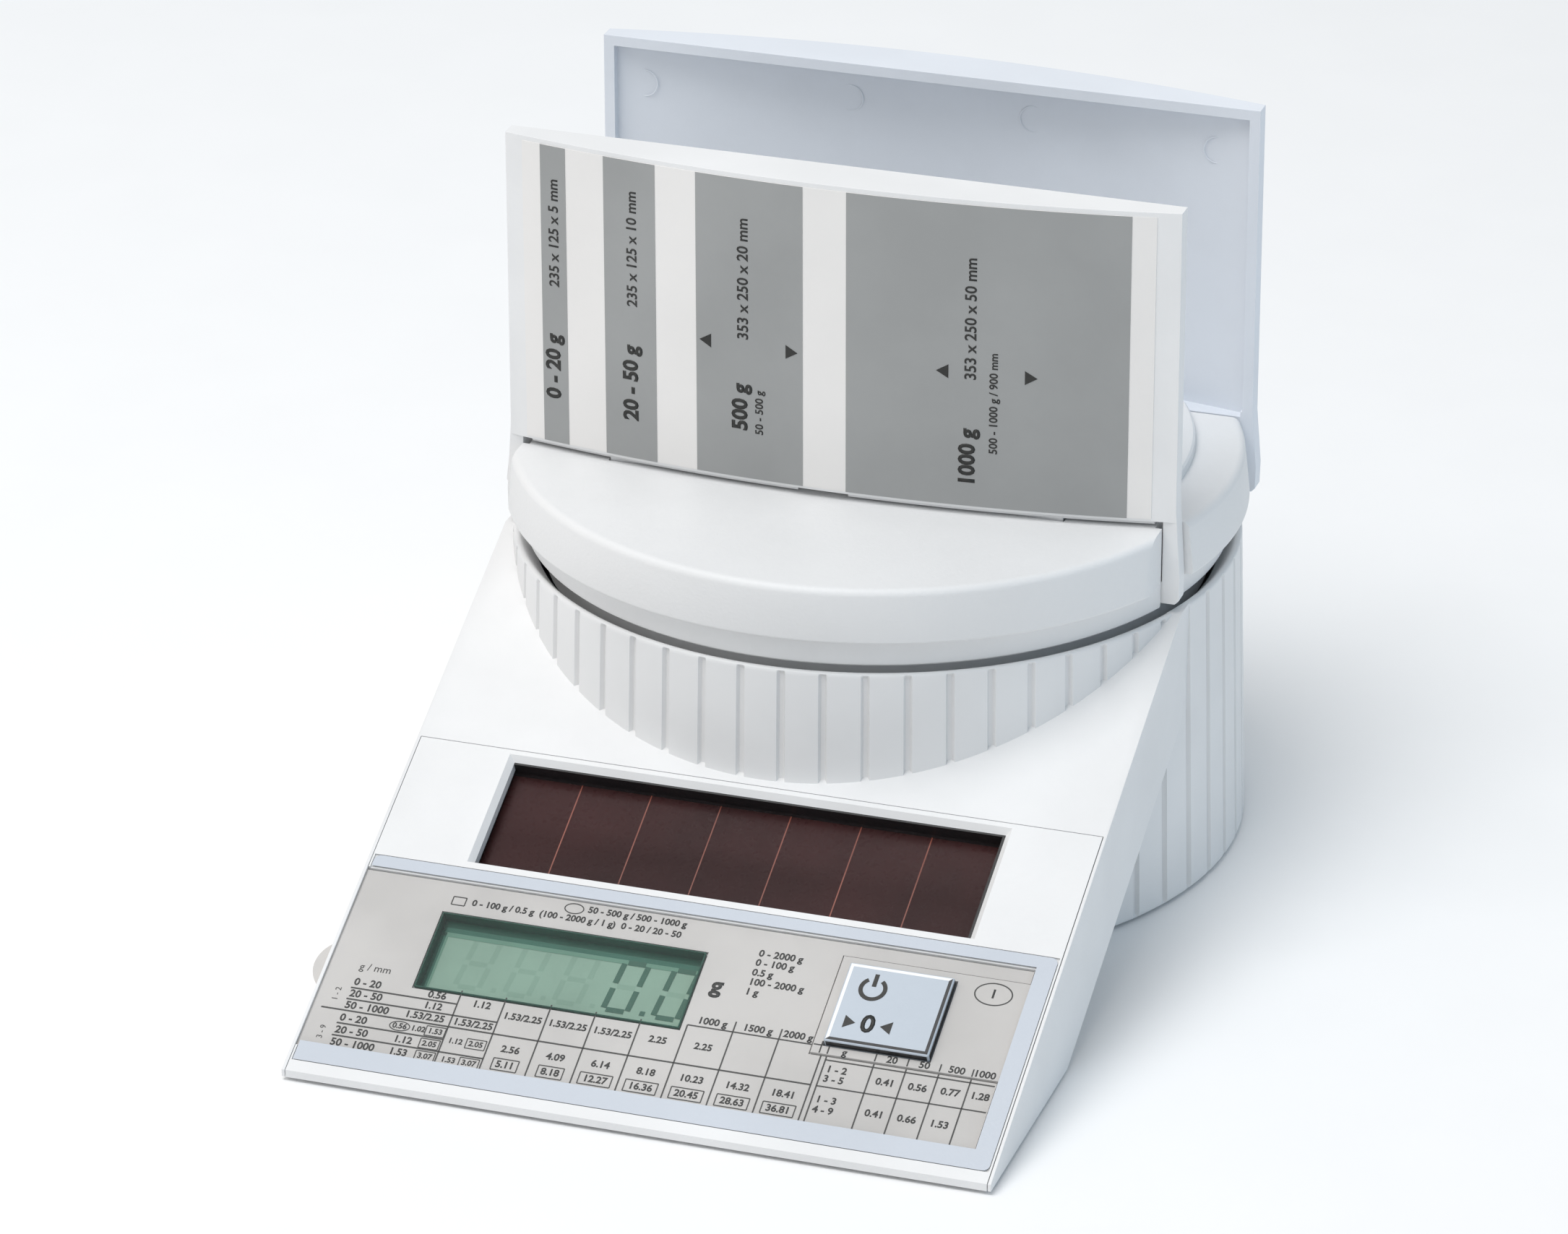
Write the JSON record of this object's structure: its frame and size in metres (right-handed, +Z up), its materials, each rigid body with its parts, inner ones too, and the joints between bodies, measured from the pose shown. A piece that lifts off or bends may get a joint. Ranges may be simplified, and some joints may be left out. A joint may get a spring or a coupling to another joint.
{
  "type": "letter scale",
  "caption": "Desk letter scale: round weighing platform with two upright letter flaps on a ribbed drum, and a sloping console with display, key and solar window.",
  "frame": {"origin": "bottom centre of the overall box, on the surface the feet stand on", "axes": "+Z up, -Y towards the user (the console's nose), +X to the user's right"},
  "size_m": [0.1348, 0.2014, 0.1317],
  "materials": {
    "housing_white": "satin",
    "pan_white": "fine texture",
    "foot_rubber": "matte",
    "screw_steel": "plated",
    "tray_black": "satin",
    "cell_dark": "glossy",
    "clear_window": "glossy",
    "clear_foil": "glossy",
    "lcd_green": "glossy",
    "contact_rubber": "matte",
    "board_green": "satin",
    "component_grey": "satin",
    "copper_lead": "bare",
    "cell_aluminium": "milled",
    "wire_sleeve": "satin",
    "carrier_grey": "satin",
    "label_paper": "satin",
    "stripe_grey": "satin",
    "key_grey": "satin",
    "card_paper": "matte"
  },
  "bodies": {
    "base": {"drum_housing": "housing_white", "base_plate": "housing_white", "console_underside": "housing_white", "rubber_feet": "foot_rubber", "base_screws": "screw_steel", "console_screws": "screw_steel", "console_cover": "housing_white", "solar_tray": "tray_black", "solar_cell": "cell_dark", "solar_window": "clear_window", "display_foil": "clear_foil", "key_surround": "housing_white", "lcd_glass": "lcd_green", "lcd_holder": "tray_black", "zebra_strip": "contact_rubber", "circuit_board": "board_green", "board_screws": "screw_steel", "controller_chip": "tray_black", "board_components": "component_grey", "key_switch": "component_grey", "solar_leads": "copper_lead", "load_cell": "cell_aluminium", "load_cell_spacer": "cell_aluminium", "load_cell_lower_screws": "screw_steel", "overload_stop": "screw_steel", "load_cell_wires": "wire_sleeve"},
    "platform": {"weighing_platform": "pan_white", "pan_carrier": "carrier_grey", "platform_screws": "screw_steel", "load_cell_upper_screws": "screw_steel"},
    "front_flap_unit": {"front_flap": "pan_white", "gauge_label": "label_paper", "gauge_stripes": "stripe_grey"},
    "rear_flap_unit": {"rear_flap": "pan_white"},
    "key": {"on_off_key": "key_grey"},
    "card": {"tariff_card": "card_paper"}
  },
  "joints": [
    {"name": "platform_press", "type": "slide", "parent": "base", "child": "platform", "axis": [0, 0, -1], "range_m": [0, 0.0005], "stiffness_N_per_m": 40000, "deforming": ["load_cell"]},
    {"name": "front_flap_lift", "type": "slide", "parent": "platform", "child": "front_flap_unit", "axis": [0, 0, 1], "range_m": [0, 0.03]},
    {"name": "rear_flap_lift", "type": "slide", "parent": "platform", "child": "rear_flap_unit", "axis": [0, 0, 1], "range_m": [0, 0.03]},
    {"name": "key_press", "type": "slide", "parent": "base", "child": "key", "axis": [0, 0.4384, -0.8988], "range_m": [0, 0.0005], "stiffness_N_per_m": 2000},
    {"name": "tariff_card_slide", "type": "slide", "parent": "base", "child": "card", "axis": [-1, 0, 0], "range_m": [0, 0.128]}
  ]
}
